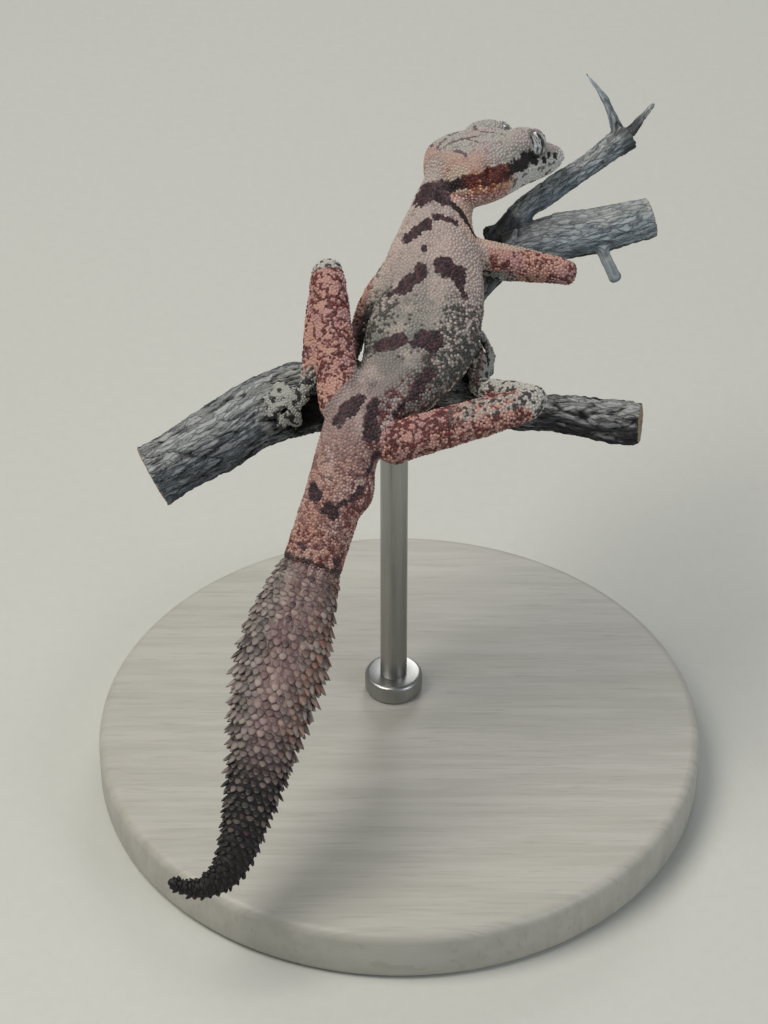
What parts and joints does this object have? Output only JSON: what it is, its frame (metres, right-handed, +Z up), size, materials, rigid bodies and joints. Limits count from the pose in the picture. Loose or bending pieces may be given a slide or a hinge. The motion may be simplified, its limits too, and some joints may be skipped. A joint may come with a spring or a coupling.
{
  "type": "feather-tailed gecko display model",
  "caption": "Life-size feather-tailed gecko gripping a forked thorn twig, its spiny plume tail hanging, on a round display base with a steel rod.",
  "frame": {"origin": "middle of the underside of the display stand's round base", "axes": "+Z up; the animal climbs towards +Y with its head turned towards +X, and its tail hangs towards -Y"},
  "size_m": [0.054, 0.0601, 0.054],
  "materials": {
    "skin_head": "granular scales, pale grey and pink with a dark eye stripe, painted resin",
    "skin_body": "granular scales, grey-pink with paired dark purple-brown blotches, painted resin",
    "skin_limb": "granular scales, salmon with dark red winding marks, painted resin",
    "skin_tail": "spiny scales, mauve-brown darkening to black at the tip, painted resin",
    "eye": "silver iris with dark vertical lines under a clear glass dome",
    "bark": "weathered grey bark with fissures, sawn pale ends",
    "base_wood": "limed ash, satin",
    "rod_steel": "brushed stainless steel"
  },
  "bodies": {
    "root": {"head": "skin_head", "neck": "skin_body", "torso": "skin_body", "tail_base": "skin_limb", "upper_arm_left": "skin_limb", "upper_arm_right": "skin_limb", "forearm_left": "skin_limb", "forearm_right": "skin_limb", "hand_left": "skin_limb", "hand_right": "skin_limb", "thigh_left": "skin_limb", "thigh_right": "skin_limb", "shin_left": "skin_limb", "shin_right": "skin_limb", "foot_left": "skin_limb", "foot_right": "skin_limb", "tail_plume": "skin_tail", "tail_end": "skin_tail", "tail_tip": "skin_tail", "eye_left": "eye", "eye_right": "eye", "perch_branch": "bark", "perch_fork": "bark", "perch_bough": "bark", "perch_twig": "bark", "stand_base": "base_wood", "stand_rod": "rod_steel", "stand_collar": "rod_steel"}
  },
  "joints": []
}
